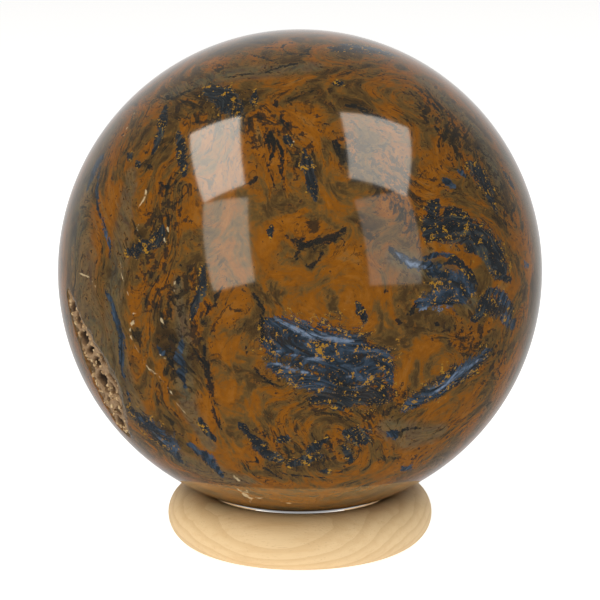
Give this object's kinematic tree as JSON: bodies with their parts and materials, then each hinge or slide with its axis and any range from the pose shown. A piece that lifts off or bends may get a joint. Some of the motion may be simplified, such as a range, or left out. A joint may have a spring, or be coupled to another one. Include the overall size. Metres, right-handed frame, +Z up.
{
  "type": "decorative stone sphere on a ring stand",
  "caption": "Polished round stone ball with a shallow natural hollow on one side, resting on a turned wooden ring of round section.",
  "frame": {"origin": "on the ring's axis, in the plane that the ring stands on, under the centre of the ball", "axes": "+Z up through the centre of the ball, -Y towards the front of the ball; the natural hollow is low on the -X side"},
  "size_m": [0.108, 0.108, 0.1156],
  "materials": {
    "polished_stone": "golden-brown stone with blue-black fibrous swirls, polished to a mirror gloss; one unpolished crumbly hollow",
    "pale_wood": "pale close-grained hardwood, turned and finely sanded, satin"
  },
  "bodies": {
    "root": {"ring_stand": "pale_wood", "stone_sphere": "polished_stone"}
  },
  "joints": []
}
